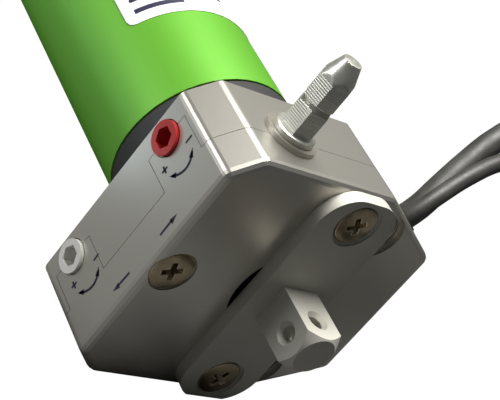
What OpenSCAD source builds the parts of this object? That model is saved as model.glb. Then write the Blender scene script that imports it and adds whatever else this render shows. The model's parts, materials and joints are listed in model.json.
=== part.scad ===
// Tubular roller shutter motor with a die-cast head, manual override and two free leads.
// The motor's axis is X. The head is at the +X end and its front plane is x = 0.
// The override spindle points along +Z, and the two limit adjusters open towards -Y.

/* [Motor tube] */
// Outer diameter of the motor tube
tube_d = 45; // [44:0.5:46]
// Wall of the motor tube
tube_wall = 1.5; // [1.2:0.1:1.6]
// Length of the motor tube
tube_len = 460; // [440:5:520]
// Distance from the head to the tube, which the crown ring fills
crown_gap = 19.5; // [19:0.5:22]

/* [Head] */
// Depth of the head along the motor's axis
head_depth = 24.5; // [22.5:0.5:25]
// Depth of the front cover
cover_depth = 10; // [9:0.5:10.5]
// Distance from the axis to the face with the limit adjusters
limit_side = 36; // [35:0.5:38]
// Distance from the axis to the opposite side
lead_side = 31.5; // [31:0.5:33]
// Distance from the axis to the top and to the bottom
half_height = 31; // [30.5:0.5:32]
// Wall of both head castings
head_wall = 2.6; // [2.2:0.1:2.8]
// Rounding of the outer edges
edge_r = 1.6; // [1:0.1:2]

/* [Mounting plate] */
// Thickness of the plate
plate_t = 3; // [2.5:0.5:4]
// Half of the plate's width
plate_half_w = 10.5; // [10:0.5:11]
// Half of the plate's length
plate_half_l = 30.5; // [30:0.5:31]
// Distance between the two plate screws
plate_screw_gap = 48; // [47:0.5:48.5]
// Side of the square stud
stud_side = 10; // [9:0.5:12]
// Length of the stud in front of the plate
stud_len = 14; // [12:0.5:18]

/* [Limit adjusters] */
// Distance of the adjusters above and below the axis
adjuster_z = 17.2; // [16.8:0.1:17.6]
// Outer radius of an adjuster's flange
adjuster_r = 3.7; // [3.4:0.1:3.8]

/* [Override] */
// Width of the hexagonal spindle across its flats
hex_flats = 7; // [6:0.5:7]
// Height of the spindle's tip above the head
spindle_top = 20.5; // [18:0.5:26]
// Distance of the spindle from the motor's axis
spindle_offset = 17.7; // [17.6:0.1:17.9]

/* [Drive wheel] */
// Outer radius of the drive wheel
wheel_r = 31; // [30.5:0.5:31.5]
// Width of the drive wheel
wheel_w = 20; // [16:1:24]

/* [Leads] */
// Diameter of the power lead
power_d = 6; // [5.5:0.1:6.5]
// Diameter of the control lead
control_d = 4; // [3.8:0.1:4.2]

/* [Hidden] */
$fn = 48;

tube_r = tube_d / 2;
bore_r = tube_r - tube_wall;
tube_front = -head_depth - crown_gap;
tube_rear = tube_front - tube_len;
floor_z = -half_height;

fit = 0.02;        // gap between pieces that are pressed or clamped together
running = 0.06;    // radial clearance of a shaft in its bearing
air = 0.3;         // gap between pieces that pass each other
over = 1;          // how far a cutting tool runs past the face it opens

// Head outline in the plane of Y and Z, anticlockwise
small_cham_y = 6.5;
small_cham_z = 5.5;
big_cham_y = 23.5;
big_cham_z = 12.5;
head_outline = [
    [-limit_side, -half_height + small_cham_z],
    [-limit_side + small_cham_y, -half_height],
    [lead_side - big_cham_y, -half_height],
    [lead_side, -half_height + big_cham_z],
    [lead_side, half_height - big_cham_z],
    [lead_side - big_cham_y, half_height],
    [-limit_side + small_cham_y, half_height],
    [-limit_side, half_height - small_cham_z]
];
seam = 0.12;              // visible gap between the two castings
front_wall = 3.2;
rear_wall = 3;
split_x = -cover_depth;
tab_half = 6.2;           // half of the width of the cover's two tabs
adjuster_x = -19.2;

// Cover screws as [y, z], with the radius of their countersunk heads
cover_screws_at = [[-30.4, 0], [11.5, 21.2], [11.5, -21.2]];
cover_head_r = 5.2;
cover_thread_r = 2;
cover_boss_r = 3.6;
recess_r = 6.1;           // sunk seat of the two cover screws beside the plate
recess_depth = 1.2;
cover_head_faces = [-0.4, -recess_depth - 0.3, -recess_depth - 0.3];
centre_r = 12.35;         // round opening behind the mounting plate

plate_corner_r = 8;
plate_head_r = 4.9;
plate_thread_r = 2.5;
plate_screws_at = [[0, plate_screw_gap / 2], [0, -plate_screw_gap / 2]];
stud_end = plate_t + stud_len;
stud_hole_r = 1.7;
stud_hole_x = plate_t + 8.5;

// Neck behind the head, which carries the crown ring and plugs the tube
neck_r = 20;
neck_in = 17.9;
spigot_len = 12;
spigot_rear = tube_front - spigot_len;

// Limit mechanism. The crown's inner ring drives the traverse screw's pinion.
traverse_y = -16;
screw_r = 2.4;
pinion_r = 3.9;
pinion_x = -36;
traverse_front = -27;    // front end of the traverse screw
pinion_w = 6;
adjust_angle = 150;
adjust_y = 16 * cos(adjust_angle);
adjust_z = 16 * sin(adjust_angle);
cross_gear_r = 5.2;
mech_rear = -108;
nut_x = -79.5;
nut_half = 3;
stop_gap = 13;          // from the nut's middle to either switch arm
carriage_t = 8;

// Override
spindle_x = -11;
worm_r = 5;
worm_half = 7;
wheel_gear_r = spindle_offset - worm_r - air;
wheel_gear_w = 7;
override_r = 3;
override_rear = -160;

// Motor, brake and gearbox stations along X
cap_x = -162;
cap_len = 42;
stator_front = -187;
stator_len = 75;
stator_in = 11;
rotor_r = stator_in - air;
winding_len = 12;
shield_t = 6;
shield_front_x = stator_front + winding_len + 2;
shield_rear_x = stator_front - stator_len - winding_len - 2 - shield_t;
motor_shaft_r = 4;
bearing_r = 11;
bearing_w = 5;
brake_x = -305;
brake_r = 15;
gear_front = -318;
ring_r = 18;
sun_r = ring_r / 7;
planet_r = (ring_r - sun_r) / 2;
planet_at = sun_r + planet_r;
planet_pin_r = 2;
planet_w = 12;
carrier_t = 5;
stage_step = 34;
output_r = 6;
output_x = gear_front - 2 * stage_step;
cap_t = 3;
plug_len = 22;
wheel_front = tube_rear - cap_t - 5;

// Rating label on the tube, in degrees from +Y towards +Z
label_front = -68.4;
label_len = 62;
label_from = 52;
label_to = 150;
label_t = 0.15;

// Where the leads leave the slanting face on the lead side
lead_face = [0, big_cham_z, big_cham_y] / norm([big_cham_y, big_cham_z]);
function on_face(x, y) = [x, y, half_height - (y - lead_side + big_cham_y) * big_cham_z / big_cham_y];
power_exit = on_face(-10, 27);
control_exit = on_face(-4.5, 20.5);

// Coils of the leads. Each lies on its tie, which is flat on the floor.
tie_t = 1;
power_coil_at = [119, 47];
control_coil_at = [52.5, 52];
power_turn_r = 33;        // middle of the two columns of turns
control_turn_r = 22;
coil_rows = 3;
tail_from = 30;           // angle where each lead's tail comes to the top, then it runs clockwise
tail_angle = 75;

// Route of each lead from inside its grommet to its coil
power_points = [
    [-10, 24.2, 15.6], [-10, 27, 20.9], [-10.6, 29.4, 24.6], [-13, 33.5, 29.3], [-16.5, 39.5, 35],
    [-20.2, 46.8, 41.2], [-23, 56, 46.5], [-22.5, 66, 48.4], [-19, 76, 45.8], [-12.5, 85, 38.5],
    [-3.5, 92.4, 26.5], [6.5, 97.4, 11.5], [17, 100, -4], [28.5, 100.8, -17], [42, 100.5, -25.2],
    [57, 98.4, -28], [72, 94.6, -28], [86, 90, -28], [98, 86, -27.4], [108, 83.7, -27], [119, 83, -27]
];
control_points = [
    [-4.5, 19, 21.6], [-4.5, 20.5, 24.35], [-5, 22.4, 27], [-6.8, 27, 31.2], [-9.5, 34, 36.2],
    [-12, 42.5, 40.8], [-13.5, 52, 43.4], [-12.8, 61, 43], [-9.5, 69.4, 39.2], [-3.5, 76.4, 31.5],
    [3.5, 81, 20.5], [10.5, 83.5, 7.5], [17.5, 84.4, -6], [25, 83.8, -18], [33, 81.4, -26],
    [40, 78.3, -28.6], [46.5, 76.5, -28], [52.5, 76, -28]
];

// ---------- shapes that repeat ----------

// Cylinder along X from x0 to x1
module x_rod(x0, x1, r, y = 0, z = 0) {
    translate([x0, y, z]) rotate([0, 90, 0]) cylinder(h = x1 - x0, r = r);
}

// Cone along X, of radius r0 at x0 and r1 at x1
module x_cone(x0, x1, r0, r1, y = 0, z = 0) {
    translate([x0, y, z]) rotate([0, 90, 0]) cylinder(h = x1 - x0, r1 = r0, r2 = r1);
}

// Ring along X
module x_ring(x0, x1, r, hole, y = 0, z = 0) {
    difference() {
        x_rod(x0, x1, r, y, z);
        x_rod(x0 - over, x1 + over, hole, y, z);
    }
}

// Prism along X from an outline in Y and Z
module x_prism(x0, x1) {
    translate([x0, 0, 0]) rotate([90, 0, 90]) linear_extrude(x1 - x0) children();
}

// Cylinder along Y from y0 to y1
module y_rod(y0, y1, r, x, z) {
    translate([x, y0, z]) rotate([-90, 0, 0]) cylinder(h = y1 - y0, r = r);
}

// Cylinder along Z from z0 to z1 on the override spindle's axis
module spindle_rod(z0, z1, r) {
    translate([spindle_x, -spindle_offset, z0]) cylinder(h = z1 - z0, r = r);
}

// Sector of a ring about X, from angle a0 over da degrees, counted from +Y towards +Z
module x_sector(x0, x1, r, hole, a0, da) {
    translate([x0, 0, 0]) rotate([0, 90, 0]) rotate([0, 0, a0 + 90])
        rotate_extrude(angle = da) translate([hole, 0]) square([r - hole, x1 - x0]);
}

// Things at a point on the slanting face, with local +Z out of the face
module at_exit(p) {
    translate(p) rotate([-atan2(lead_face.y, lead_face.z), 0, 0]) children();
}

function unit(v) = v / norm(v);

// Corners of an anticlockwise convex outline, moved in by d
function inset(pts, d) = [
    for (i = [0:len(pts) - 1])
        let (n = len(pts), u = unit(pts[i] - pts[(i + n - 1) % n]), v = unit(pts[(i + 1) % n] - pts[i]))
            pts[i] + d * ([-u.y, u.x] + [-v.y, v.x]) / (1 + u * v)
];

// Countersunk screw along X with its head's face at x = face and a cross recess
module csk_screw(face, length, head_r, thread_r, y, z, turn = 0) {
    head_t = head_r - thread_r;
    slot_w = head_r * 0.24;
    difference() {
        union() {
            x_cone(face - head_t, face, thread_r, head_r, y, z);
            x_rod(face - length, face - head_t, thread_r, y, z);
        }
        for (a = [0, 90])
            translate([face, y, z]) rotate([turn + a, 0, 0])
                cube([head_t * 1.1, head_r * 1.1, slot_w], center = true);
    }
}

// Seat for a countersunk screw whose head's face is at x = face
module csk_seat(face, head_r, hole_r, length, y, z) {
    head_t = head_r - hole_r;
    x_cone(face - head_t, face, hole_r, head_r, y, z);
    x_rod(face - fit, face + 2 * over, head_r, y, z);
    x_rod(face - length, face - head_t + fit, hole_r, y, z);
}

// ---------- head ----------

// Anticlockwise convex outline moved in by d, with corners of radius r - d and n points on each
function rounded(pts, r, d, n = 4) = let (m = len(pts), centres = inset(pts, r)) [
    for (i = [0:m - 1])
        let (u = unit(pts[i] - pts[(i + m - 1) % m]), v = unit(pts[(i + 1) % m] - pts[i]))
            for (k = [0:n - 1])
                let (a = atan2(-u.x, u.y) + acos(u * v) * k / (n - 1))
                    centres[i] + (r - d) * [cos(a), sin(a)]
];

// Outside of the closed head, with all its outer edges rounded
module head_solid() {
    rear_r = 0.5;
    layers = concat(
        [[-head_depth, rear_r], [-head_depth + rear_r, 0]],
        [for (a = [0:30:90]) [edge_r * (sin(a) - 1), edge_r * (1 - cos(a))]]
    );
    loops = [for (l = layers) [for (p = rounded(head_outline, edge_r + 0.6, l.y)) [l.x, p.x, p.y]]];
    m = len(loops[0]);
    last = len(loops) - 1;
    walls = [
        for (i = [0:last - 1]) for (k = [0:m - 1]) let (j = (k + 1) % m)
            [i * m + k, (i + 1) * m + k, (i + 1) * m + j, i * m + j]
    ];
    caps = [[for (k = [0:m - 1]) k], [for (k = [m - 1:-1:0]) last * m + k]];
    polyhedron([for (l = loops) each l], concat(walls, caps), convexity = 4);
}

// Room inside the head between two stations, less the screw bosses
module head_room(x0, x1) {
    difference() {
        x_prism(x0, x1) polygon(inset(head_outline, head_wall));
        for (p = cover_screws_at) x_rod(x0 - over, x1 + over, cover_boss_r, p.x, p.y);
    }
}

// Space that the front cover takes: in front of the split, and two tabs round the adjusters
module cover_space(grow) {
    translate([split_x - grow, -100, -100]) cube([200, 200, 200]);
    for (s = [-1, 1])
        translate([adjuster_x - grow, -100, s * adjuster_z - tab_half - grow])
            cube([100, 100 - limit_side + head_wall + grow, 2 * (tab_half + grow)]);
}

// Openings that both castings share
module head_openings() {
    for (s = [-1, 1]) {
        y_rod(-limit_side - over, -limit_side + 1, adjuster_r + air, adjuster_x, s * adjuster_z);
        y_rod(-limit_side - over, -limit_side + head_wall + over, 3.1, adjuster_x, s * adjuster_z);
    }
    spindle_rod(half_height - head_wall - over, half_height + over, 5 + fit);
    at_exit(power_exit) translate([0, 0, -8]) cylinder(h = 12, r = power_d / 2 + 1.2 + fit);
    at_exit(control_exit) translate([0, 0, -8]) cylinder(h = 12, r = control_d / 2 + 1 + fit);
    for (i = [0:2]) {
        p = cover_screws_at[i];
        csk_seat(cover_head_faces[i], cover_head_r, cover_thread_r + 0.2, cover_depth + over, p.x, p.y);
    }
}

module rear_housing() color([0.66, 0.65, 0.6]) {
    difference() {
        head_solid();
        cover_space(seam);
        head_room(-head_depth + rear_wall, split_x + over);
        head_openings();
        for (p = cover_screws_at) x_rod(-head_depth + 2, split_x + over, cover_thread_r + fit, p.x, p.y);
        x_rod(-head_depth - over, 0, override_r + running);
        for (s = [-1, 1]) {
            x_rod(-head_depth - over, 0, screw_r + air, adjust_y, s * adjust_z);
            y_rod(-limit_side + head_wall, adjust_y + 4.6, 4.1, adjuster_x, s * adjuster_z);
        }
    }
    difference() {
        union() {
            x_rod(tube_front, -head_depth + fit, neck_r);
            x_rod(spigot_rear, tube_front + fit, bore_r - fit);
        }
        x_rod(spigot_rear - over, -head_depth - 2, neck_in);
        x_rod(-head_depth - 3, 0, override_r + running);
        x_rod(pinion_x - 0.5, pinion_x + pinion_w + 0.5, pinion_r + air, traverse_y);
        x_rod(spigot_rear - over, traverse_front + air, screw_r + air, traverse_y);
        for (s = [-1, 1]) x_rod(spigot_rear - over, 0, screw_r + air, adjust_y, s * adjust_z);
    }
}

module front_cover() color([0.68, 0.67, 0.62]) {
    difference() {
        intersection() {
            head_solid();
            cover_space(0);
        }
        head_room(-head_depth, -front_wall);
        head_openings();
        x_rod(-front_wall - over, over, centre_r);
        for (p = cover_screws_at)
            if (p.x > 0) x_rod(-recess_depth, over, recess_r, p.x, p.y);
        for (p = plate_screws_at) x_rod(-10, over, plate_thread_r + 0.1, p.x, p.y);
    }
    for (p = plate_screws_at) x_ring(split_x + 1, -front_wall + fit, 4.4, plate_thread_r + 0.1, p.x, p.y);
}

module cover_screws() color([0.62, 0.6, 0.55]) {
    turns = [20, 50, -35];
    for (i = [0:2]) {
        p = cover_screws_at[i];
        face = cover_head_faces[i];
        csk_screw(face, 18.5 + face, cover_head_r - 0.2, cover_thread_r, p.x, p.y, turns[i]);
    }
}

// Round black cap in the opening behind the mounting plate
module centre_cap() color([0.06, 0.06, 0.06]) {
    x_rod(-front_wall, -2, centre_r - fit);
    x_ring(-front_wall - 1.5, -front_wall + fit, 8, 5);
}

// Plate outline with rounded corners, in Y and Z
module plate_outline() {
    w = plate_half_w - plate_corner_r;
    l = plate_half_l - plate_corner_r;
    square([2 * plate_half_w, 2 * l], center = true);
    square([2 * w, 2 * plate_half_l], center = true);
    for (y = [-w, w]) for (z = [-l, l]) translate([y, z]) circle(r = plate_corner_r);
}

module mounting_plate() color([0.72, 0.71, 0.66]) {
    bevel = 0.9;
    difference() {
        union() {
            x_prism(fit, plate_t) plate_outline();
            intersection() {
                x_prism(plate_t - fit, stud_end) square(stud_side, center = true);
                union() {
                    x_rod(0, stud_end - 2.2, stud_side);
                    x_cone(stud_end - 2.21, stud_end, stud_side * 0.72, stud_side * 0.47);
                }
            }
        }
        for (p = plate_screws_at) {
            csk_seat(plate_t, plate_head_r + 0.7, plate_thread_r + 0.3, 6, p.x, p.y);
            x_rod(plate_t - 0.5, plate_t + over, plate_head_r + 0.7, p.x, p.y);
        }
        y_rod(-stud_side, stud_side, stud_hole_r, stud_hole_x, 0);
        translate([stud_hole_x, 0, -stud_side]) cylinder(h = 2 * stud_side, r = stud_hole_r);
        for (a = [0:90:270])
            rotate([a, 0, 0]) translate([stud_hole_x, 0, stud_side / 2 - bevel])
                cylinder(h = bevel + fit, r1 = stud_hole_r, r2 = stud_hole_r + bevel);
    }
}

module plate_screws() color([0.66, 0.63, 0.56]) {
    csk_screw(plate_t - 0.4, 12, plate_head_r, plate_thread_r, 0, plate_screw_gap / 2, 30);
    csk_screw(plate_t - 0.4, 12, plate_head_r, plate_thread_r, 0, -plate_screw_gap / 2, 62);
}

module grommet(p, lead_d, wall, depth) {
    color([0.05, 0.05, 0.05]) at_exit(p) difference() {
        union() {
            translate([0, 0, -depth]) cylinder(h = depth + 0.3, r = lead_d / 2 + wall);
            translate([0, 0, -depth - 4]) cylinder(h = 4, r1 = lead_d / 2 + 0.6, r2 = lead_d / 2 + wall);
        }
        translate([0, 0, -depth - 5]) cylinder(h = depth + 6, r = lead_d / 2 + 0.1);
    }
}

module power_grommet() grommet(power_exit, power_d, 1.2, 5);
module control_grommet() grommet(control_exit, control_d, 1, 3);

// Terminal block in the head, with its row of clamp screws
module terminal_block() color([0.9, 0.9, 0.86]) {
    rows = [-9, -3, 3, 9];
    difference() {
        translate([-20, 17, -12]) cube([8, 10, 24]);
        for (z = rows) {
            x_rod(-14, -11, 1.8, 19.8, z);
            y_rod(23, 28, 1.5, -16, z);
        }
    }
}

// ---------- manual override ----------

module spindle_bush() color([0.55, 0.53, 0.47]) difference() {
    union() {
        spindle_rod(half_height - 4.5, half_height + fit, 5);
        spindle_rod(half_height + fit, half_height + 1.1, 6.1);
    }
    spindle_rod(half_height - 6, half_height + 3, 4 + running);
}

// Hexagonal bar on the spindle's axis
module hex_bar(z0, z1) {
    translate([spindle_x, -spindle_offset, z0]) rotate([0, 0, 15])
        cylinder(h = z1 - z0, r = hex_flats / 2 / cos(30), $fn = 6);
}

// Spindle with its hexagonal driving end, which a groove parts in two
module override_spindle() color([0.8, 0.8, 0.76]) {
    base = half_height + 2.4;
    tip = half_height + spindle_top;
    groove = half_height + 0.45 * spindle_top;
    difference() {
        union() {
            hex_bar(base - fit, groove - 0.9);
            hex_bar(groove + 0.9, tip);
        }
        difference() {
            spindle_rod(tip - 6, tip + over, hex_flats);
            translate([spindle_x, -spindle_offset, tip - 6.1]) cylinder(h = 6.1 + over, r1 = 4.3, r2 = 2.1);
        }
    }
    spindle_rod(groove - 1, groove + 1, hex_flats / 2 - 0.6);
    spindle_rod(half_height + 1.2, base, 4.9);
    spindle_rod(worm_half + 3, half_height + 1.3, 4);
    spindle_rod(-worm_half - 6, worm_half + 3.1, 3);
}

module override_worm() color([0.72, 0.6, 0.3]) difference() {
    spindle_rod(-worm_half, worm_half, worm_r);
    spindle_rod(-worm_half - 1, worm_half + 1, 3 + fit);
    for (k = [-2:2])
        translate([spindle_x, -spindle_offset, 2.4 * k]) rotate_extrude()
            polygon([[worm_r - 1, -0.3], [worm_r + 1, -1.4], [worm_r + 1, 1.4], [worm_r - 1, 0.3]]);
}

module override_wheel() color([0.75, 0.62, 0.32]) {
    x_ring(spindle_x - wheel_gear_w / 2, spindle_x + wheel_gear_w / 2, wheel_gear_r, override_r + fit);
}

module override_shaft() color([0.7, 0.7, 0.7]) {
    x_rod(override_rear, spindle_x + wheel_gear_w / 2 + 2, override_r);
    x_rod(override_rear - 4, override_rear + fit, 3.8);
}

// ---------- limit mechanism ----------

// Adjuster along Y with its hexagonal socket, and its crossed gear inside the head
module adjuster(side) {
    z = side * adjuster_z;
    proud = 0.8;
    difference() {
        union() {
            y_rod(-limit_side - proud, -limit_side + 0.9, adjuster_r, adjuster_x, z);
            y_rod(-limit_side + 0.8, adjust_y - 4, 2.9, adjuster_x, z);
            y_rod(adjust_y - 4.1, adjust_y + 4, 3.6, adjuster_x, z);
        }
        translate([adjuster_x, -limit_side - proud - fit, z]) rotate([-90, 0, 0])
            cylinder(h = 6, r = 2.1 / cos(30), $fn = 6);
    }
}

module up_adjuster() color([0.72, 0.08, 0.08]) adjuster(1);
module down_adjuster() color([0.88, 0.88, 0.84]) adjuster(-1);

module adjusting_screw(side) color([0.75, 0.65, 0.4]) {
    z = side * adjust_z;
    x_rod(mech_rear, adjuster_x + 2.8, screw_r, adjust_y, z);
    x_rod(adjuster_x - 1, adjuster_x + 2.6, cross_gear_r, adjust_y, z);
}

module up_adjusting_screw() adjusting_screw(1);
module down_adjusting_screw() adjusting_screw(-1);

// Carriage with its microswitch. Its arm stands in the path of the traverse nut.
module switch_carriage(side, x) {
    z = side * adjust_z;
    color([0.15, 0.3, 0.6]) difference() {
        union() {
            translate([x, adjust_y - 3.4, min(z - side * 2.8, z + side * 3.2)]) cube([carriage_t, 6.8, 6]);
            translate([x, adjust_y + 3.3, side > 0 ? 5 : -15]) cube([carriage_t, 6, 10]);
            translate([x, traverse_y - 1.6, side > 0 ? 3.1 : -5.3]) cube([carriage_t, 5, 2.2]);
        }
        x_rod(x - over, x + carriage_t + over, screw_r + running, adjust_y, z);
    }
}

module up_switch_carriage() switch_carriage(1, nut_x - stop_gap - carriage_t);
module down_switch_carriage() switch_carriage(-1, nut_x + stop_gap);

module traverse_screw() color([0.7, 0.7, 0.7]) {
    x_rod(mech_rear, traverse_front, screw_r, traverse_y);
    x_rod(pinion_x, pinion_x + pinion_w, pinion_r, traverse_y);
}

module traverse_nut() color([0.9, 0.9, 0.9]) difference() {
    translate([nut_x - nut_half, traverse_y - 3.4, -2.9]) cube([2 * nut_half, 6.8, 5.8]);
    x_rod(nut_x - 10, nut_x + 10, screw_r + running, traverse_y);
}

// Disc across the tube with bearings for the three screws
module frame_disc(x0, x1, r) difference() {
    x_rod(x0, x1, r);
    x_rod(x0 - over, x1 + over, override_r + running);
    x_rod(x0 - over, x1 + over, screw_r + running, traverse_y);
    for (s = [-1, 1]) x_rod(x0 - over, x1 + over, screw_r + running, adjust_y, s * adjust_z);
}

// Moulded frame that carries the three screws
module limit_frame() color([0.2, 0.2, 0.2]) {
    front = spigot_rear + 4;
    frame_disc(front, front + 3, neck_in - 0.1);
    frame_disc(mech_rear + 2, mech_rear + 5, bore_r - 0.2);
    for (s = [-1, 1]) x_rod(mech_rear + 4.9, front + 0.1, 2.5, 9, s * 12);
}

// Crown ring, which the shutter tube turns. Two slots take the tube's inner keys.
module crown_ring() color([0.07, 0.07, 0.07]) difference() {
    union() {
        x_rod(tube_front + 0.5, -head_depth - 2.4, tube_r - 0.2);
        x_cone(-head_depth - 2.41, -head_depth - 0.6, tube_r - 0.2, tube_r - 1.4);
    }
    x_rod(tube_front - over, 0, neck_r + 0.08);
    for (a = [0, 270])
        rotate([a, 0, 0]) translate([tube_front, tube_r - 1.2, -2]) cube([12, 4, 4]);
}

// ---------- tube and motor ----------

// Angles round the tube and stations of its fixing screws
tube_screw_x = [tube_front - 6, tube_rear + 8];
tube_screw_a = [20, 260, 320];

module outer_tube() color([0.36, 0.68, 0.18]) difference() {
    x_ring(tube_rear, tube_front, tube_r, bore_r);
    for (x = tube_screw_x) for (a = tube_screw_a)
        rotate([a, 0, 0]) translate([x, tube_r - 4, 0]) rotate([-90, 0, 0]) cylinder(h = 6, r = 2.1);
}

module tube_screws() color([0.7, 0.7, 0.68])
    for (x = tube_screw_x) for (a = tube_screw_a)
        rotate([a, 0, 0]) translate([x, 0, 0]) rotate([-90, 0, 0]) {
            translate([0, 0, bore_r + fit]) cylinder(h = tube_wall, r = 2);
            translate([0, 0, tube_r + fit]) cylinder(h = 0.6, r1 = 3, r2 = 2.2);
        }

module rating_label() color([0.92, 0.91, 0.88])
    x_sector(label_front - label_len, label_front, tube_r + fit + label_t, tube_r + fit, label_from,
        label_to - label_from);

module capacitor() color([0.85, 0.85, 0.82]) {
    x_rod(cap_x, cap_x + cap_len, 7.4, 11.6);
    for (z = [-2.5, 2.5]) x_rod(cap_x + cap_len, cap_x + cap_len + 5, 0.6, 11.6, z);
}

module shield(x0, side) color([0.7, 0.7, 0.72]) difference() {
    x_rod(x0, x0 + shield_t, bore_r - fit);
    x_rod(x0 - over, x0 + shield_t + over, 5);
    if (side > 0) x_rod(x0 - over, x0 + shield_t - 2, bearing_r + fit);
    else x_rod(x0 + 2, x0 + shield_t + over, bearing_r + fit);
}

module front_shield() shield(shield_front_x, 1);
module rear_shield() shield(shield_rear_x, -1);

module motor_bearings() color([0.75, 0.75, 0.75]) {
    bore = motor_shaft_r + 0.05;
    x_ring(shield_front_x - 1, shield_front_x - 1 + bearing_w, bearing_r, bore);
    x_ring(shield_rear_x + 2, shield_rear_x + 2 + bearing_w, bearing_r, bore);
}

module stator_core() color([0.45, 0.45, 0.48])
    x_ring(stator_front - stator_len, stator_front, bore_r - fit, stator_in);

module stator_windings() color([0.75, 0.38, 0.15]) {
    x_ring(stator_front + fit, stator_front + winding_len, 19.5, 12.5);
    x_ring(stator_front - stator_len - winding_len, stator_front - stator_len - fit, 19.5, 12.5);
}

module rotor_core() color([0.55, 0.55, 0.58])
    x_ring(stator_front - stator_len, stator_front, rotor_r, motor_shaft_r + fit);

// Shaft of the rotor, with the first stage's sun at its rear end
module rotor_shaft() color([0.72, 0.72, 0.74]) {
    x_rod(gear_front - 6, shield_front_x + shield_t + 1, motor_shaft_r);
    x_rod(gear_front - 6 - planet_w, gear_front - 5.9, sun_r - 0.15);
}

module brake_disc() color([0.25, 0.25, 0.25])
    x_ring(brake_x - 4, brake_x, brake_r, motor_shaft_r + fit);

module brake_armature() color([0.5, 0.5, 0.55])
    x_ring(brake_x + 0.6, brake_x + 4.6, brake_r, motor_shaft_r + air);

module brake_spring() color([0.6, 0.6, 0.6])
    x_ring(brake_x + 5.2, brake_x + 11, 6.5, 5);

module brake_magnet() color([0.3, 0.3, 0.33]) difference() {
    x_rod(brake_x + 5.4, shield_rear_x - 1, bore_r - fit);
    x_rod(brake_x, shield_rear_x, 6.8);
}

// ---------- gearbox ----------

// Housing with the two stages' common ring gear
module gear_housing() color([0.6, 0.6, 0.62])
    x_ring(output_x - 14, gear_front, bore_r - fit, ring_r + 0.15);

module planet(stage, number) {
    x0 = gear_front - 6 - planet_w - (stage - 1) * stage_step;
    at = planet_at * [cos(120 * number - 90), sin(120 * number - 90)];
    color([0.85, 0.82, 0.7])
        x_ring(x0, x0 + planet_w, planet_r - 0.15, planet_pin_r + running, at.x, at.y);
}

module stage1_planet_1() planet(1, 1);
module stage1_planet_2() planet(1, 2);
module stage1_planet_3() planet(1, 3);
module stage2_planet_1() planet(2, 1);
module stage2_planet_2() planet(2, 2);
module stage2_planet_3() planet(2, 3);

// Disc with three pins for a stage's planets
module carrier(stage) {
    rear = gear_front - 6 - planet_w - 0.5 - (stage - 1) * stage_step;
    x_rod(rear - carrier_t, rear, ring_r - 0.4);
    for (k = [1:3]) {
        a = 120 * k - 90;
        x_rod(rear - 0.1, rear + planet_w + 0.4, planet_pin_r, planet_at * cos(a), planet_at * sin(a));
    }
}

module stage1_carrier() color([0.6, 0.58, 0.5]) {
    carrier(1);
    x_rod(gear_front - 6 - planet_w - stage_step, gear_front - 6 - planet_w - carrier_t, sun_r - 0.15);
}

// Second carrier with the output shaft, which has two flats for the drive wheel
module output_shaft() color([0.65, 0.65, 0.67]) {
    rear = wheel_front - wheel_w - 5;
    carrier(2);
    difference() {
        x_rod(rear, gear_front - 6 - planet_w - stage_step - carrier_t, output_r);
        for (s = [-1, 1])
            translate([rear - over, s > 0 ? 4.5 : -14.5, -10]) cube([wheel_w + 6 + over, 10, 20]);
        x_ring(rear + 2, rear + 3.1, output_r + over, output_r - 0.7);
    }
}

// Plug that closes the tube and carries the output shaft
module end_plug() color([0.2, 0.2, 0.2]) difference() {
    union() {
        x_rod(tube_rear - cap_t, tube_rear + plug_len, bore_r - fit);
        x_rod(tube_rear - cap_t, tube_rear - fit, tube_r - 0.2);
    }
    x_rod(tube_rear - cap_t - over, tube_rear + plug_len + over, output_r + running);
    x_ring(tube_rear + 3, tube_rear + plug_len + over, 17, 9.5);
}

// Drive wheel with a hub, a web with six windows, a rim and two key grooves
module drive_wheel() color([0.12, 0.12, 0.13]) {
    x0 = wheel_front - wheel_w;
    difference() {
        union() {
            x_ring(x0, wheel_front, wheel_r, wheel_r - 3.5);
            x_rod(x0 + 2, wheel_front, 11);
            x_rod(x0 + wheel_w / 2 - 2, x0 + wheel_w / 2 + 2, wheel_r - 3);
            for (a = [0:60:300])
                rotate([a, 0, 0]) translate([x0 + 2, 0, -1.5]) cube([wheel_w - 4, wheel_r - 2, 3]);
        }
        difference() {
            x_rod(x0 - over, wheel_front + over, output_r + fit);
            for (s = [-1, 1])
                translate([x0 - 2 * over, s > 0 ? 4.5 + fit : -14.5 - fit, -10])
                    cube([wheel_w + 4 * over, 10, 20]);
        }
        for (a = [30:60:330])
            x_rod(x0, wheel_front, 4.6, 19 * cos(a), 19 * sin(a));
        for (a = [0, 180])
            rotate([a, 0, 0]) translate([x0 - over, wheel_r - 1.8, -3]) cube([wheel_w + 2 * over, 5, 6]);
    }
}

module wheel_circlip() color([0.3, 0.3, 0.32]) {
    x0 = wheel_front - wheel_w - 3;
    difference() {
        x_ring(x0 + 0.05, x0 + 1.05, output_r + 2.6, output_r - 0.66);
        translate([x0 - over, 0, -2]) cube([4, 12, 4]);
    }
}

// ---------- leads ----------

// Ring of points round a route's point, square to the direction d
function ring(p, d, r, sides) =
    let (u = unit(cross(d, [0.1, 0.2, 1])), v = cross(d, u))
        [for (k = [0:sides - 1]) p + r * (cos(360 * k / sides) * u + sin(360 * k / sides) * v)];

// Tube of radius r along points, with sides flats
module lead_tube(points, r, sides) {
    n = len(points);
    dirs = [for (i = [0:n - 1]) unit(points[min(i + 1, n - 1)] - points[max(i - 1, 0)])];
    verts = [for (i = [0:n - 1]) each ring(points[i], dirs[i], r, sides)];
    walls = [
        for (i = [0:n - 2]) for (k = [0:sides - 1])
            let (a = i * sides, b = a + sides, j = (k + 1) % sides) [a + k, a + j, b + j, b + k]
    ];
    caps = [[for (k = [sides - 1:-1:0]) k], [for (k = [0:sides - 1]) (n - 1) * sides + k]];
    polyhedron(verts, concat(walls, caps), convexity = 10);
}

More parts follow.
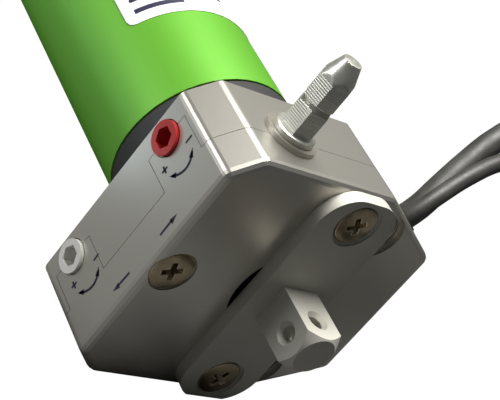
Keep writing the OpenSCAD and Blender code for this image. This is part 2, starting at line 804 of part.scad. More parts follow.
// Points between the chosen ones, on a smooth curve through them
function between(p, i, t) =
    let (n = len(p), a = p[max(i - 1, 0)], b = p[i], c = p[i + 1], d = p[min(i + 2, n - 1)])
        b + 0.5 * t * (c - a + t * (2 * a - 5 * b + 4 * c - d + t * (3 * b - 3 * c + d - a)));
function smooth(p) = [for (i = [0:len(p) - 2]) for (t = [0, 0.5]) between(p, i, t), p[len(p) - 1]];

module power_lead() color([0.2, 0.2, 0.2]) lead_tube(smooth(power_points), power_d / 2, 10);
module control_lead() color([0.2, 0.2, 0.2]) lead_tube(smooth(control_points), control_d / 2, 10);

// Outer shape of a coil with two columns of turns, and the end of the lead on top of it
module coil(at, turn_r, d) {
    z0 = floor_z + tie_t;
    translate([at.x, at.y, z0]) {
        rotate_extrude() translate([turn_r - d, 0]) square([2 * d, coil_rows * d]);
        translate([0, 0, coil_rows * d - 0.2]) rotate([0, 0, tail_from - tail_angle])
            rotate_extrude(angle = tail_angle) translate([turn_r - d / 2, 0]) square([d, d]);
    }
}

module power_lead_coil() color([0.2, 0.2, 0.2]) coil(power_coil_at, power_turn_r, power_d);
module control_lead_coil() color([0.2, 0.2, 0.2]) coil(control_coil_at, control_turn_r, control_d);

// Bared cores past the end of a lead, with a ferrule on each
module bared_end(at, turn_r, d, core_r, core_len) {
    z = floor_z + tie_t + coil_rows * d + d / 2 - 0.2;
    a0 = tail_from - tail_angle;
    da = core_len / turn_r * 180 / PI;
    ferrule = 8 / turn_r * 180 / PI;
    shift = core_r + 0.25;
    for (i = [-1, 1]) for (k = [-1, 1])
        translate([at.x, at.y, z + k * shift]) {
            rotate([0, 0, a0 - da - 0.1]) rotate_extrude(angle = da)
                translate([turn_r + i * shift, 0]) circle(r = core_r);
            rotate([0, 0, a0 - da - ferrule - 0.2]) rotate_extrude(angle = ferrule)
                translate([turn_r + i * shift, 0]) circle(r = core_r * 0.8);
        }
}

module power_lead_end() color([0.3, 0.35, 0.6])
    bared_end(power_coil_at, power_turn_r, power_d, 1, 24);
module control_lead_end() color([0.7, 0.6, 0.3])
    bared_end(control_coil_at, control_turn_r, control_d, 0.65, 16);

// Two flat ties round each coil
module coil_tie(at, turn_r, d, a) {
    h = coil_rows * d;
    slack = 0.7;
    translate([at.x, at.y, floor_z]) rotate([0, 0, a]) translate([turn_r, 0, 0]) difference() {
        translate([-d - tie_t - slack, -4, 0]) cube([2 * (d + tie_t + slack), 8, h + 2 * tie_t + 0.3]);
        translate([-d - slack, -5, tie_t - fit]) cube([2 * (d + slack), 10, h + 0.3]);
    }
}

module coil_ties() color([0.08, 0.08, 0.08]) {
    for (a = [150, 215]) {
        coil_tie(power_coil_at, power_turn_r, power_d, a);
        coil_tie(control_coil_at, control_turn_r, control_d, a);
    }
}

rear_housing();
front_cover();
cover_screws();
mounting_plate();
plate_screws();
centre_cap();
power_grommet();
control_grommet();
terminal_block();
spindle_bush();
override_spindle();
override_worm();
override_wheel();
override_shaft();
up_adjuster();
down_adjuster();
up_adjusting_screw();
down_adjusting_screw();
up_switch_carriage();
down_switch_carriage();
traverse_screw();
traverse_nut();
limit_frame();
crown_ring();
outer_tube();
tube_screws();
rating_label();
capacitor();
front_shield();
rear_shield();
motor_bearings();
stator_core();
stator_windings();
rotor_core();
rotor_shaft();
brake_disc();
brake_armature();
brake_magnet();
brake_spring();
gear_housing();
stage1_carrier();
stage1_planet_1();
stage1_planet_2();
stage1_planet_3();
stage2_planet_1();
stage2_planet_2();
stage2_planet_3();
output_shaft();
end_plug();
drive_wheel();
wheel_circlip();
power_lead();
power_lead_coil();
power_lead_end();
control_lead();
control_lead_coil();
control_lead_end();
coil_ties();
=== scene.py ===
"""Looks of a tubular roller shutter motor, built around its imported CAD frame.

Every length is in metres, in the part's own frame: +X runs along the motor's axis and out of its
stud, +Z along the override spindle, and the limit adjusters open towards -Y.
"""
import json
import math

import bmesh
import bpy
from mathutils import Matrix, Vector


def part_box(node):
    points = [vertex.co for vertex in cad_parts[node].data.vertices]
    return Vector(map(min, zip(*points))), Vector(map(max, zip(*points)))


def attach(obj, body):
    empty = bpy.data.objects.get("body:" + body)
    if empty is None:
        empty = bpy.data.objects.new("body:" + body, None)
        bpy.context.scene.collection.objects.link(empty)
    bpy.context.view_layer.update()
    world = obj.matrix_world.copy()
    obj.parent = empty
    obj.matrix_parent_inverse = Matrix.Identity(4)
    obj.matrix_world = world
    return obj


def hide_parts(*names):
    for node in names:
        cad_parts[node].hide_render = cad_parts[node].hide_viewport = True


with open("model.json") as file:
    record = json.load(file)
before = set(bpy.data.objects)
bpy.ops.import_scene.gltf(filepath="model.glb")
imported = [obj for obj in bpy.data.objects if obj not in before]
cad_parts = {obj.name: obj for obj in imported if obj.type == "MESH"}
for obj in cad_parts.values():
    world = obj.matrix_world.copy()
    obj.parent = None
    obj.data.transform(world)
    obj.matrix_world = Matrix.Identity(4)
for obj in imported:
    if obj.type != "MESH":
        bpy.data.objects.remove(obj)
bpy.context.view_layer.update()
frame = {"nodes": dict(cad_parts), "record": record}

MM = 0.001
ROOT = "motor_body"
NODES = frame["nodes"]


# ---------------------------------------------------------------- places from the frame


label_low, label_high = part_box("rating_label")
spindle_low, spindle_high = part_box("override_spindle")
plate_screws_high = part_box("plate_screws")[1]
LIMIT_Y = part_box("front_cover")[0].y
TUBE_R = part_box("outer_tube")[1].y
COIL_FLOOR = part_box("power_lead_coil")[0].z


# ---------------------------------------------------------------- camera, lights and floor


def add_camera():
    """Camera close to the head, looking down along the tube, and rolled to the right."""
    place = Vector((166.6, -213.1, 136.4)) * MM
    ahead = Vector((-0.6057, 0.6772, -0.4178)).normalized()
    roll = math.radians(40.3)
    level = ahead.cross(Vector((0, 0, 1))).normalized()
    upright = level.cross(ahead)
    right = level * math.cos(roll) + upright * math.sin(roll)
    up = right.cross(ahead)
    data = bpy.data.cameras.new("camera")
    data.sensor_width = 36
    data.lens = 103.2
    data.clip_start = 0.01
    camera = bpy.data.objects.new("camera", data)
    bpy.context.scene.collection.objects.link(camera)
    turn = Matrix((right, up, -ahead)).transposed()
    camera.matrix_world = Matrix.Translation(place) @ turn.to_4x4()
    bpy.context.scene.camera = camera


def add_area(name, place, target, size, power, colour):
    """Square area light, with its power in watts, that faces a target."""
    data = bpy.data.lights.new(name, "AREA")
    data.size = size
    data.energy = power
    data.color = colour
    light = bpy.data.objects.new(name, data)
    bpy.context.scene.collection.objects.link(light)
    light.location = place
    aim = Vector(target) - Vector(place)
    light.rotation_euler = aim.to_track_quat("-Z", "Y").to_euler()
    return light


def add_lights():
    """Large soft key from above, weak fill by the adjusters, cool strip under the tube, pale world."""
    head = (0, 0, 0)
    add_area("key", (-0.16, 0.02, 0.62), head, 0.34, 8.5, (1.0, 0.985, 0.95))
    add_area("fill", (-0.35, -0.7, 0.12), head, 0.4, 2.7, (0.97, 0.98, 1.0))
    middle_x, strip_length, strip_width = -0.2, 0.26, 0.006
    strip = add_area("strip", (middle_x, -0.085, COIL_FLOOR + 0.003), (middle_x, 0, 0),
                     strip_length, 0.02, (0.75, 0.9, 1.0))
    strip.data.shape = "RECTANGLE"
    strip.data.size_y = strip_width
    strip.visible_camera = False
    world = bpy.data.worlds.new("surroundings")
    world.use_nodes = True
    background = world.node_tree.nodes["Background"]
    background.inputs["Color"].default_value = (0.94, 0.97, 1.0, 1)
    background.inputs["Strength"].default_value = 0.07
    bpy.context.scene.world = world
    bpy.context.scene.view_settings.view_transform = "Standard"


def add_floor():
    """Plain white floor under the coils, bright to the camera and dull to the part."""
    half = 6.0
    mesh = bpy.data.meshes.new("floor")
    ring = [(-half, -half, 0), (half, -half, 0), (half, half, 0), (-half, half, 0)]
    mesh.from_pydata(ring, [], [(0, 1, 2, 3)])
    floor = bpy.data.objects.new("floor", mesh)
    floor.location.z = COIL_FLOOR
    bpy.context.scene.collection.objects.link(floor)
    material = bpy.data.materials.new("floor_white")
    material.use_nodes = True
    tree = material.node_tree
    tree.nodes.clear()
    out = tree.nodes.new("ShaderNodeOutputMaterial")
    mix = tree.nodes.new("ShaderNodeMixShader")
    path = tree.nodes.new("ShaderNodeLightPath")
    soften = tree.nodes.new("ShaderNodeMath")
    soften.operation = "MULTIPLY"
    soften.inputs[1].default_value = 0.93
    dull = tree.nodes.new("ShaderNodeBsdfDiffuse")
    dull.inputs["Color"].default_value = (0.12, 0.12, 0.12, 1)
    bright = tree.nodes.new("ShaderNodeEmission")
    bright.inputs["Strength"].default_value = 1.1
    tree.links.new(path.outputs["Is Camera Ray"], soften.inputs[0])
    tree.links.new(soften.outputs[0], mix.inputs["Fac"])
    tree.links.new(dull.outputs[0], mix.inputs[1])
    tree.links.new(bright.outputs[0], mix.inputs[2])
    tree.links.new(mix.outputs[0], out.inputs["Surface"])
    mesh.materials.append(material)


add_camera()
add_lights()
add_floor()


# ---------------------------------------------------------------- materials


class Shader:
    """A Principled material whose colour, roughness and relief come from noise in object space."""

    def __init__(self, name, metallic=0.0, coat=0.0):
        self.material = bpy.data.materials.new(name)
        self.material.use_nodes = True
        self.tree = self.material.node_tree
        self.surface = self.tree.nodes["Principled BSDF"]
        self.surface.inputs["Metallic"].default_value = metallic
        self.surface.inputs["Coat Weight"].default_value = coat
        self.surface.inputs["Coat Roughness"].default_value = 0.12
        self.place = self.tree.nodes.new("ShaderNodeTexCoord").outputs["Object"]

    def link(self, output, target):
        self.tree.links.new(output, target)

    def noise(self, size, stretch=(1, 1, 1), detail=3.0):
        """Noise whose grains are about size metres, stretched along each axis."""
        scale = self.tree.nodes.new("ShaderNodeMapping")
        scale.inputs["Scale"].default_value = [1 / (size * s) for s in stretch]
        node = self.tree.nodes.new("ShaderNodeTexNoise")
        node.inputs["Scale"].default_value = 1.0
        node.inputs["Detail"].default_value = detail
        self.link(self.place, scale.inputs["Vector"])
        self.link(scale.outputs[0], node.inputs["Vector"])
        return node.outputs["Fac"]

    def spread(self, value, low, high):
        """Noise, which sits near a half, spread over low to high."""
        node = self.tree.nodes.new("ShaderNodeMapRange")
        node.inputs["From Min"].default_value = 0.3
        node.inputs["From Max"].default_value = 0.7
        node.inputs["To Min"].default_value = low
        node.inputs["To Max"].default_value = high
        self.link(value, node.inputs["Value"])
        return node.outputs[0]

    def mixed(self, factor, first, second):
        """Colour between two colours or colour outputs."""
        node = self.tree.nodes.new("ShaderNodeMix")
        node.data_type = "RGBA"
        self.link(factor, node.inputs["Factor"])
        for socket, value in ((node.inputs[6], first), (node.inputs[7], second)):
            if isinstance(value, tuple):
                socket.default_value = (*value, 1)
            else:
                self.link(value, socket)
        return node.outputs[2]

    def bevel(self, radius):
        """Normal of the surface with its edges rounded to a radius."""
        node = self.tree.nodes.new("ShaderNodeBevel")
        node.samples = 4
        node.inputs["Radius"].default_value = radius
        return node.outputs[0]

    def edges(self, radius):
        """How sharply the surface turns here: 0 on a flat, 1 on an edge or in a corner."""
        flat = self.tree.nodes.new("ShaderNodeNewGeometry").outputs["Normal"]
        dot = self.tree.nodes.new("ShaderNodeVectorMath")
        dot.operation = "DOT_PRODUCT"
        self.link(self.bevel(radius), dot.inputs[0])
        self.link(flat, dot.inputs[1])
        node = self.tree.nodes.new("ShaderNodeMapRange")
        node.inputs["From Min"].default_value = 0.99
        node.inputs["From Max"].default_value = 0.85
        self.link(dot.outputs["Value"], node.inputs["Value"])
        return node.outputs[0]

    def relief(self, value, height, round_edges):
        """Bump of a given height in metres, over edges that shading rounds to a radius."""
        bump = self.tree.nodes.new("ShaderNodeBump")
        bump.inputs["Distance"].default_value = height
        bump.inputs["Strength"].default_value = 1.0
        self.link(value, bump.inputs["Height"])
        self.link(self.bevel(round_edges), bump.inputs["Normal"])
        self.link(bump.outputs[0], self.surface.inputs["Normal"])


def srgb(red, green, blue):
    """Linear colour from a 0 to 255 display colour."""
    return tuple(
        v / 12.92 if v <= 0.04045 else ((v + 0.055) / 1.055) ** 2.4
        for v in (red / 255, green / 255, blue / 255)
    )


def metal(name, bright, dull, rough, grain, height, stretch=(1, 1, 1), edge=None,
          round_edges=0.0003, metallic=1.0):
    """Metal with two tones, uneven polish, a grain, and paler worn edges where asked."""
    shader = Shader(name, metallic=metallic)
    shader.surface.inputs["Specular IOR Level"].default_value = 0.3
    tone = shader.mixed(shader.spread(shader.noise(grain * 14, stretch), 0, 1), dull, bright)
    if edge:
        tone = shader.mixed(shader.edges(round_edges * 1.5), tone, edge)
    shader.link(tone, shader.surface.inputs["Base Color"])
    polish = shader.spread(shader.noise(grain * 5, stretch), rough - 0.07, rough + 0.07)
    shader.link(polish, shader.surface.inputs["Roughness"])
    shader.relief(shader.noise(grain, stretch), height, round_edges)
    return shader.material


def plastic(name, light, dark, rough, grain, height, coat=0.0):
    """Moulded plastic, rubber or paint with a faint mottle and a surface grain."""
    shader = Shader(name, coat=coat)
    tone = shader.mixed(shader.spread(shader.noise(grain * 18), 0, 1), dark, light)
    shader.link(tone, shader.surface.inputs["Base Color"])
    polish = shader.spread(shader.noise(grain * 6), rough - 0.06, rough + 0.06)
    shader.link(polish, shader.surface.inputs["Roughness"])
    shader.relief(shader.noise(grain), height, 0.2 * MM)
    return shader.material


LOOKS = {
    "die_cast": metal("die_cast", srgb(182, 178, 160), srgb(168, 163, 145), 0.72, 0.00035, 0.00008,
                      edge=srgb(190, 186, 168), metallic=0.06, round_edges=0.0006),
    "plate_steel": metal("plate_steel", srgb(184, 180, 163), srgb(166, 162, 146), 0.46, 0.0003,
                         0.00004, edge=srgb(214, 212, 200), metallic=0.6),
    "nickel_screws": metal("nickel_screws", srgb(190, 174, 146), srgb(150, 136, 110), 0.2, 0.0005,
                           0.00001, edge=srgb(235, 226, 200)),
    "zinc_spindle": metal("zinc_spindle", srgb(226, 226, 216), srgb(204, 204, 194), 0.34, 0.0003,
                          0.000003, metallic=0.75, round_edges=0.0001),
    "bush_steel": metal("bush_steel", srgb(214, 214, 206), srgb(184, 182, 172), 0.32, 0.0003,
                        0.000005, metallic=0.8),
    "bright_steel": metal("bright_steel", srgb(205, 205, 205), srgb(176, 176, 178), 0.28, 0.0004,
                          0.00001),
    "cast_aluminium": metal("cast_aluminium", srgb(196, 197, 200), srgb(168, 169, 172), 0.5, 0.0005,
                            0.00004),
    "gear_brass": metal("gear_brass", srgb(216, 178, 98), srgb(186, 146, 74), 0.32, 0.0004, 0.00001),
    "lamination": metal("lamination", srgb(120, 122, 128), srgb(92, 94, 100), 0.45, 0.0005, 0.00003,
                        stretch=(0.6, 6, 6)),
    "copper": metal("copper", srgb(206, 122, 74), srgb(170, 88, 48), 0.34, 0.0006, 0.0001,
                    stretch=(6, 1, 1)),
    "brake_steel": metal("brake_steel", srgb(112, 114, 120), srgb(84, 86, 92), 0.42, 0.0004, 0.00002),
    "black_plastic": plastic("black_plastic", srgb(30, 31, 33), srgb(20, 21, 23), 0.36, 0.0004,
                             0.00002),
    "grommet_rubber": plastic("grommet_rubber", srgb(42, 42, 42), srgb(28, 28, 28), 0.62, 0.0003,
                              0.00003),
    "grey_plastic": plastic("grey_plastic", srgb(222, 222, 216), srgb(206, 206, 200), 0.45, 0.0005,
                            0.00002),
    "red_plastic": plastic("red_plastic", srgb(206, 22, 26), srgb(178, 10, 16), 0.24, 0.0004,
                           0.00001, coat=0.35),
    "white_plastic": plastic("white_plastic", srgb(238, 237, 230), srgb(224, 222, 212), 0.26, 0.0004,
                             0.00001, coat=0.35),
    "blue_plastic": plastic("blue_plastic", srgb(40, 84, 168), srgb(28, 66, 140), 0.35, 0.0005,
                            0.00002),
    "green_paint": plastic("green_paint", srgb(112, 188, 58), srgb(100, 176, 48), 0.36, 0.0007,
                           0.00001, coat=0.25),
    "label_film": plastic("label_film", srgb(240, 240, 238), srgb(228, 229, 230), 0.4, 0.0006,
                          0.00001, coat=0.2),
    "gear_nylon": plastic("gear_nylon", srgb(232, 226, 206), srgb(214, 206, 184), 0.4, 0.0005,
                          0.00002),
    "wheel_nylon": plastic("wheel_nylon", srgb(48, 49, 52), srgb(34, 35, 38), 0.42, 0.0004, 0.00003),
    "lead_sheath": plastic("lead_sheath", srgb(66, 66, 63), srgb(50, 50, 48), 0.5, 0.0004, 0.00003),
    "core_blue": plastic("core_blue", srgb(38, 92, 190), srgb(28, 74, 164), 0.4, 0.0003, 0.00001),
    "core_brown": plastic("core_brown", srgb(112, 66, 36), srgb(92, 50, 26), 0.4, 0.0003, 0.00001),
}


def dress_frame():
    """Gives each CAD node the look of its slot."""
    for row in frame["record"]["materials"]:
        for node in row.get("nodes", []):
            slots = NODES[node].data.materials
            slots.clear()
            slots.append(LOOKS[row["slot"]])


dress_frame()


# ---------------------------------------------------------------- pieces that stand for CAD nodes


def skin(name, verts, faces):
    """New object from vertices and faces, with all its faces turned outwards."""
    mesh = bpy.data.meshes.new(name)
    mesh.from_pydata([tuple(v) for v in verts], [], faces)
    mesh.validate()
    work = bmesh.new()
    work.from_mesh(mesh)
    bmesh.ops.recalc_face_normals(work, faces=work.faces)
    work.to_mesh(mesh)
    work.free()
    thing = bpy.data.objects.new(name, mesh)
    bpy.context.scene.collection.objects.link(thing)
    return thing


def add_mesh(name, verts, faces, look, body=ROOT, node=None):
    """Mesh piece that rides on a body and, where asked, stands for a CAD node."""
    piece = skin(name, verts, faces)
    piece.data.materials.append(look)
    if node:
        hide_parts(node)
    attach(piece, body)
    return piece


def shade_by_angle(piece, degrees=35):
    """Smooth shading, but for edges sharper than an angle."""
    for face in piece.data.polygons:
        face.use_smooth = True
    piece.data.set_sharp_from_angle(angle=math.radians(degrees))


def stack(rings):
    """Vertices and faces of a closed skin over equal rings of points."""
    count = len(rings[0])
    verts = [p for ring in rings for p in ring]
    faces = []
    for i in range(len(rings) - 1):
        for k in range(count):
            a, b = i * count + k, i * count + (k + 1) % count
            faces.append((a, b, b + count, a + count))
    faces.append(tuple(range(count)))
    faces.append(tuple(range(len(verts) - count, len(verts))))
    return verts, faces


def lathe_x(profile, y, z, count=64):
    """Skin turned about a line along X, from pairs of x and radius."""
    turns = [2 * math.pi * k / count for k in range(count)]
    return stack([[Vector((x, y + r * math.cos(a), z + r * math.sin(a))) for a in turns]
                  for x, r in profile])


def cut_cross(piece, places, size, depth):
    """Cuts a tapered cross recess into each screw head: places are (x, y, z, degrees)."""
    levels = ((0.4 * MM, 1.04 * size, 0.286 * size), (-depth, 0.4 * size, 0.15 * size))
    for x, y, z, degrees in places:
        for quarter in (0, 90):
            a = math.radians(degrees + quarter)
            along = Vector((0, math.cos(a), math.sin(a)))
            across = Vector((0, -math.sin(a), math.cos(a)))
            rings = []
            for dx, length, width in levels:
                middle = Vector((x + dx, y, z))
                rings.append([middle + along * i * length / 2 + across * j * width / 2
                              for i, j in ((-1, -1), (1, -1), (1, 1), (-1, 1))])
            verts, faces = stack(rings)
            cutter = skin("cutter", verts, faces)
            cut = piece.modifiers.new("cross", "BOOLEAN")
            cut.operation = "DIFFERENCE"
            cut.solver = "EXACT"
            cut.object = cutter
            ready = piece.evaluated_get(bpy.context.evaluated_depsgraph_get())
            piece.data = bpy.data.meshes.new_from_object(ready)
            piece.modifiers.clear()
            bpy.data.objects.remove(cutter)


def add_screws(name, node, screws, head_r, thread_r):
    """Countersunk cross-head screws: each is (x of its head's face, y, z, turn, length)."""
    crown = 0.35 * MM
    verts, faces = [], []
    for x, y, z, _, length in screws:
        cone = head_r - thread_r
        profile = [(x - length, thread_r * 0.6), (x - length + 0.8 * MM, thread_r)]
        profile += [(x - cone, thread_r), (x - 0.25 * MM, head_r - 0.1 * MM), (x - 0.12 * MM, head_r)]
        for t in range(1, 8):
            bow = t * math.pi / 16
            profile.append((x + crown * math.sin(bow), head_r * math.cos(bow)))
        more_verts, more_faces = lathe_x(profile, y, z)
        faces += [tuple(i + len(verts) for i in face) for face in more_faces]
        verts += more_verts
    piece = add_mesh(name, verts, faces, LOOKS["nickel_screws"], node=node)
    faces_at = [(x + crown, y, z, turn) for x, y, z, turn, _ in screws]
    cut_cross(piece, faces_at, head_r * 1.05, 2.2 * MM)
    shade_by_angle(piece, 30)


COVER_SCREWS = [(-0.4, -30.4, 0, 20), (-1.5, 11.5, 21.2, 50), (-1.5, 11.5, -21.2, -35)]
CAD_PLATE_HEAD_R = 4.9 * MM
plate_screw_x = plate_screws_high.x
plate_screw_z = plate_screws_high.z - CAD_PLATE_HEAD_R
add_screws("cover_screw_set", "cover_screws",
           [(x * MM, y * MM, z * MM, turn, (18.5 + x) * MM) for x, y, z, turn in COVER_SCREWS],
           head_r=5.0 * MM, thread_r=2.0 * MM)
add_screws("plate_screw_set", "plate_screws",
           [(plate_screw_x, 0, plate_screw_z, 30, 12 * MM),
            (plate_screw_x, 0, -plate_screw_z, 62, 12 * MM)],
           head_r=4.8 * MM, thread_r=2.5 * MM)


def add_spindle():
    """Override spindle: journal, collar, and a hexagon with rolled cross grooves and a neck."""
    top, low = spindle_high.z, spindle_low.z
    worm_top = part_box("override_worm")[1].z
    centre = Vector(((spindle_low.x + spindle_high.x) / 2, (spindle_low.y + spindle_high.y) / 2, 0))
    base = top - 18.1 * MM     # foot of the hexagon, on the collar
    neck = top - 11.3 * MM     # middle of the groove that parts the hexagon in two
    flats, first_corner = 3.5 * MM, 15
    tip_r, tip_slope = 2.1 * MM, 0.36
    pitch, depth = 0.55 * MM, 0.04 * MM
    count = 48
    rings = []

    def ring(z, radius, flat=None):
        """Ring of the bar at z: round, or a hexagon cut back to the radius."""
        points = []
        for k in range(count):
            a = 2 * math.pi * k / count
            off_flat = (math.degrees(a) - first_corner) % 60 - 30
            r = radius if flat is None else min(radius, flat / math.cos(math.radians(off_flat)))
            points.append(centre + Vector((r * math.cos(a), r * math.sin(a), z)))
        rings.append(points)

    ring(low, 2.4 * MM)
    ring(low + 0.6 * MM, 3 * MM)
    ring(worm_top + 3 * MM, 3 * MM)
    ring(worm_top + 3.1 * MM, 4 * MM)
    ring(top - 19.6 * MM, 4 * MM)
    ring(top - 19.5 * MM, 4.7 * MM)
    ring(top - 19.3 * MM, 4.9 * MM)
    ring(base - 0.25 * MM, 4.9 * MM)
    ring(base, 4.6 * MM)
    ring(base + 0.05 * MM, 4.2 * MM, flats)
    z = base + 0.3 * MM
    while z < top - 0.2 * MM:
        for step, sunk in ((0, 0), (0.45, 0), (0.62, depth), (0.8, depth)):
            level = z + step * pitch
            cone = tip_r + (top - level) * tip_slope
            groove = 2.9 * MM + max(0.0, abs(level - neck) - 0.25 * MM) * 2.2
            ring(level, min(cone, groove), flats - (sunk if cone > 4 * MM else 0))
        z += pitch
    ring(top - 0.05 * MM, tip_r, flats)
    ring(top, tip_r - 0.2 * MM, flats)
    verts, faces = stack(rings)
    piece = add_mesh("spindle_bar", verts, faces, LOOKS["zinc_spindle"],
                     body="override_input", node="override_spindle")
    shade_by_angle(piece, 40)


add_spindle()


# ---------------------------------------------------------------- print on the limit face and the tube


INK = plastic("ink", srgb(44, 44, 72), srgb(34, 34, 60), 0.5, 0.0003, 0.00001)
INK_T = 0.04 * MM
ink_verts, ink_faces = [], []


def ink_shape(outline):
    """Adds a thin plate to the print, from its convex outline in x and z in millimetres."""
    start = len(ink_verts)
    count = len(outline)
    for y in (LIMIT_Y + 0.01 * MM, LIMIT_Y - INK_T):
        ink_verts.extend(Vector((x * MM, y, z * MM)) for x, z in outline)
    ink_faces.append(tuple(range(start, start + count)))
    ink_faces.append(tuple(range(start + count, start + 2 * count)))
    for k in range(count):
        a, b = start + k, start + (k + 1) % count
        ink_faces.append((a, b, b + count, a + count))


def ink_bar(a, b, width):
    """Straight stroke from a to b."""
    a, b = Vector(a), Vector(b)
    side = (b - a).normalized().orthogonal() * width / 2
    ink_shape([tuple(a - side), tuple(b - side), tuple(b + side), tuple(a + side)])


def ink_tip(at, ahead, length, width):
    """Arrow head whose point is at a place and faces along a direction."""
    at, ahead = Vector(at), Vector(ahead).normalized()
    side = ahead.orthogonal() * width / 2
    back = at - ahead * length
    ink_shape([tuple(at), tuple(back + side), tuple(back - side)])


def ink_arc(a, through, b, width):
    """Curved stroke from a to b through a third point, with an arrow head at both ends."""
    a, through, b = Vector(a), Vector(through), Vector(b)
    pull = 2 * through - (a + b) / 2
    steps = 14
    line = []
    for k in range(steps + 1):
        t = k / steps
        line.append((1 - t) ** 2 * a + 2 * t * (1 - t) * pull + t * t * b)
    for p, q in zip(line[1:-2], line[2:-1]):
        ink_bar(p, q + (q - p) * 0.15, width)
    ink_tip(a, a - line[3], 2.0, 1.25)
    ink_tip(b, b - line[-4], 2.0, 1.25)


def add_print():
    """Plus, minus and turning marks by each adjuster, and an arrow for each way of travel."""
    for side, minus, plus, top_tip, bulge, low_tip in (
        (1, ((-14.1, 20.7), (-14.2, 22.8)), (-14.0, 13.4),
         (-11.9, 21.6), (-9.7, 18.0), (-11.8, 13.6)),
        (-1, ((-13.6, -12.5), (-13.8, -10.6)), (-13.6, -19.9),
         (-11.4, -11.9), (-9.3, -15.5), (-11.3, -19.9)),
    ):
        ink_bar(*minus, 0.45)
        x, z = plus
        ink_bar((x - 0.9, z), (x + 0.9, z), 0.45)
        ink_bar((x, z - 0.9), (x, z + 0.9), 0.45)
        ink_arc(top_tip, bulge, low_tip, 0.55)
        tail, tip = (-3.7, side * 5.4), (-3.9, side * 11.2)
        ink_bar(tail, (-3.83, side * 9.6), 0.5)
        ink_tip(tip, (-0.1, side * 1.0), 2.1, 1.3)
    add_mesh("limit_print", ink_verts, ink_faces, INK)


add_print()


def tube_patch(name, x0, x1, a0, a1, corner, lift, look, node=None):
    """Thin film on the tube between two stations and two angles, with rounded corners."""
    inner, outer = TUBE_R + 0.02 * MM, TUBE_R + lift
    middle_x, middle_a = (x0 + x1) / 2, (a0 + a1) / 2
    half_x, half_a = (x1 - x0) / 2, math.radians(a1 - a0) / 2 * TUBE_R
    columns, verts, faces = 96, [], []
    for k in range(columns + 1):
        s = -half_a + 2 * half_a * k / columns
        into = corner - (half_a - abs(s))
        trim = corner - math.sqrt(max(corner ** 2 - into ** 2, 0)) if into > 0 else 0
        a = math.radians(middle_a) + s / TUBE_R
        for x in (middle_x - half_x + trim, middle_x + half_x - trim):
            for r in (inner, outer):
                verts.append(Vector((x, r * math.cos(a), r * math.sin(a))))
    for k in range(columns):
        i, j = 4 * k, 4 * (k + 1)
        for p, q in ((0, 1), (1, 3), (3, 2), (2, 0)):
            faces.append((i + p, i + q, j + q, j + p))
    faces += [(0, 1, 3, 2), (len(verts) - 4, len(verts) - 3, len(verts) - 1, len(verts) - 2)]
    piece = add_mesh(name, verts, faces, look, node=node)
    shade_by_angle(piece, 50)


def add_label():
    """White film label, with generic blue bars where a maker would print."""
    front, rear = label_high.x, label_low.x
    first_angle, last_angle = 52, 150
    tube_patch("label_sheet", rear, front, first_angle, last_angle, 2.2 * MM, 0.14 * MM,
               LOOKS["label_film"], node="rating_label")
    bars = [(3.0, 4.5, 112, 143), (7.0, 8.2, 80, 143), (11.0, 11.8, 80, 143), (14.5, 15.3, 80, 128)]
    bars += [(20 + 5 * i, 20.7 + 5 * i, 70, 143 - 9 * (i % 3)) for i in range(7)]
    for i, (near, far, a0, a1) in enumerate(bars):
        tube_patch(f"label_bar_{i}", front - far * MM, front - near * MM, a0, a1, 0.2 * MM,
                   0.17 * MM, INK)


add_label()


# ---------------------------------------------------------------- leads


POWER_ROUTE = [
    (-10, 24.2, 15.6), (-10, 27, 20.9), (-10.6, 29.4, 24.6), (-13, 33.5, 29.3), (-16.5, 39.5, 35),
    (-20.2, 46.8, 41.2), (-23, 56, 46.5), (-22.5, 66, 48.4), (-19, 76, 45.8), (-12.5, 85, 38.5),
    (-3.5, 92.4, 26.5), (6.5, 97.4, 11.5), (17, 100, -4), (28.5, 100.8, -17), (42, 100.5, -25.2),
    (57, 98.4, -28), (72, 94.6, -28), (86, 90, -28), (98, 86, -27.4), (108, 83.7, -27),
]
CONTROL_ROUTE = [
    (-4.5, 19, 21.6), (-4.5, 20.5, 24.35), (-5, 22.4, 27), (-6.8, 27, 31.2), (-9.5, 34, 36.2),
    (-12, 42.5, 40.8), (-13.5, 52, 43.4), (-12.8, 61, 43), (-9.5, 69.4, 39.2), (-3.5, 76.4, 31.5),
    (3.5, 81, 20.5), (10.5, 83.5, 7.5), (17.5, 84.4, -6), (25, 83.8, -18), (33, 81.4, -26),
    (40, 78.3, -28.6), (46.5, 76.5, -28),
]
TIE_T = 1 * MM
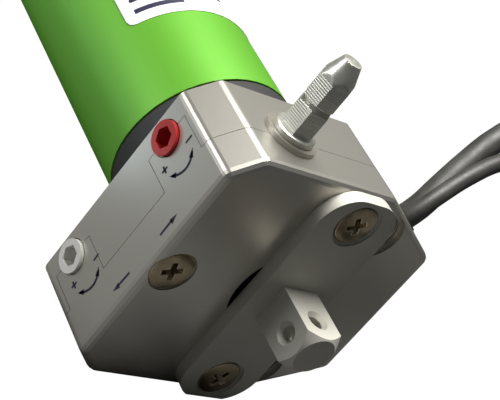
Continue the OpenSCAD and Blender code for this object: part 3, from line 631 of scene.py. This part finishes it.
COIL_END = 1935.0  # degrees wound, to where the sheath is stripped


def eased(turned, start, stop):
    """0 before start, 1 after stop, and smooth between."""
    t = min(max((turned - start) / (stop - start), 0.0), 1.0)
    return t * t * (3 - 2 * t)


def coil_point(at, turn_r, d, turned):
    """Point of a coil of two columns and three rows, turned clockwise from its +Y side."""
    outside = 1 - eased(turned, 300, 360) + eased(turned, 900, 960) - eased(turned, 1500, 1560)
    to_middle = eased(turned, 1800, 1860)
    radius = turn_r + d * (outside - 0.5) * (1 - to_middle)
    row = eased(turned, 600, 660) + eased(turned, 1200, 1260) + 0.866 * to_middle
    angle = math.radians(90 - turned)
    z = COIL_FLOOR + TIE_T + d / 2 + row * d
    return Vector((at[0] + radius * math.cos(angle), at[1] + radius * math.sin(angle), z))


def add_curve(name, points, radius):
    """Round curve of one open spline through the points."""
    data = bpy.data.curves.new(name, "CURVE")
    data.dimensions = "3D"
    data.bevel_depth = radius
    data.bevel_resolution = 6
    data.resolution_u = 4
    data.use_fill_caps = True
    spline = data.splines.new("BEZIER")
    spline.bezier_points.add(len(points) - 1)
    for knot, point in zip(spline.bezier_points, points):
        knot.co = point
        knot.handle_left_type = knot.handle_right_type = "AUTO"
    piece = bpy.data.objects.new(name, data)
    bpy.context.scene.collection.objects.link(piece)
    return piece


def add_lead(name, route, at, turn_r, d):
    """One flexible lead: its route to the floor, then its coil."""
    step = 15
    points = [Vector(p) * MM for p in route]
    points += [coil_point(at, turn_r, d, u) for u in range(0, int(COIL_END) + 1, step)]
    piece = add_curve(name + "_cable", points, d / 2)
    piece.data.materials.append(LOOKS["lead_sheath"])
    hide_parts(name + "_lead", name + "_lead_coil")
    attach(piece, ROOT)
    return piece


POWER_COIL = (119 * MM, 47 * MM)
CONTROL_COIL = (52.5 * MM, 52 * MM)
power_lead = add_lead("power", POWER_ROUTE, POWER_COIL, 33 * MM, 6 * MM)
control_lead = add_lead("control", CONTROL_ROUTE, CONTROL_COIL, 22 * MM, 4 * MM)
